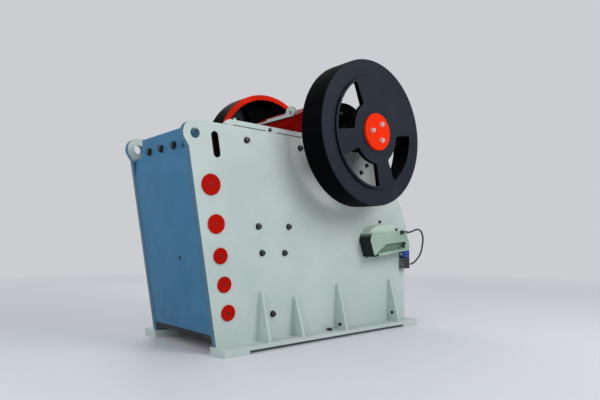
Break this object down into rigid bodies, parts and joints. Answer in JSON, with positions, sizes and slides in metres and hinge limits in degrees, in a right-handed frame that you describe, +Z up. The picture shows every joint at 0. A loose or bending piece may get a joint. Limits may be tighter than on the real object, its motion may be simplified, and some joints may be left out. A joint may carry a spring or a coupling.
{
  "type": "single-toggle jaw crusher",
  "caption": "Single-toggle jaw crusher: pinned plate frame, toothed jaws, overhead eccentric shaft with a flywheel on each side, pitman, toggle plate and wedge setting gear.",
  "frame": {"origin": "floor level, at the middle of the machine's length and width", "axes": "+X towards the rear end and tension rod, +Z up, +Y towards the right side plate; the shaft lies along Y"},
  "size_m": [4.0146, 2.5606, 3.4],
  "materials": {
    "mint_paint": "satin enamel, pale grey-green",
    "blue_paint": "satin enamel, steel blue",
    "red_paint": "satin enamel, deep red over cast steel",
    "orange_paint": "gloss enamel, orange red",
    "black_paint": "satin enamel, blue black, over cast iron",
    "jaw_steel": "cast manganese steel, dull",
    "bright_steel": "machined",
    "hydraulic_blue": "gloss enamel, blue",
    "hose_rubber": "matt black hose"
  },
  "bodies": {
    "frame": {"adjuster_hose": "hose_rubber", "adjuster_left": "mint_paint", "adjuster_right": "mint_paint", "bearing_base_left": "mint_paint", "bearing_base_right": "mint_paint", "bearing_cap_left": "black_paint", "bearing_cap_right": "black_paint", "bearing_left": "black_paint", "bearing_right": "black_paint", "cheek_plate_left": "jaw_steel", "cheek_plate_right": "jaw_steel", "fixed_jaw_die": "red_paint", "foot_left": "mint_paint", "foot_right": "mint_paint", "frame_pin_left_1": "orange_paint", "frame_pin_left_2": "orange_paint", "frame_pin_left_3": "orange_paint", "frame_pin_left_4": "orange_paint", "frame_pin_left_5": "orange_paint", "frame_pin_right_1": "orange_paint", "frame_pin_right_2": "orange_paint", "frame_pin_right_3": "orange_paint", "frame_pin_right_4": "orange_paint", "frame_pin_right_5": "orange_paint", "front_end": "red_paint", "front_panel": "blue_paint", "rear_end": "mint_paint", "return_spring": "orange_paint", "side_plate_left": "mint_paint", "side_plate_right": "mint_paint", "spring_cap": "black_paint", "tension_rod": "bright_steel", "toggle_plate": "jaw_steel", "toggle_seat": "jaw_steel", "top_rail_left": "mint_paint", "top_rail_right": "mint_paint", "valve_block": "hydraulic_blue", "wedge_front": "bright_steel", "wedge_rear": "bright_steel"},
    "rotor": {"eccentric_shaft": "bright_steel", "flywheel_left": "black_paint", "flywheel_right": "black_paint", "hub_cap_left": "orange_paint", "hub_cap_right": "orange_paint"},
    "pitman": {"pitman": "red_paint", "moving_jaw_die": "jaw_steel", "nose_guard": "mint_paint"}
  },
  "joints": [
    {"name": "shaft_spin", "type": "hinge", "parent": "frame", "child": "rotor", "pos_m": [0.3201, 0, 2.496], "axis": [0, 1, 0], "continuous": true},
    {"name": "pitman_swing", "type": "hinge", "parent": "rotor", "child": "pitman", "pos_m": [0.31215, 0, 2.48214], "axis": [0, 1, 0], "continuous": true}
  ],
  "couplings": [
    {"joint": "pitman_swing", "follows": "shaft_spin", "ratio": -1}
  ]
}
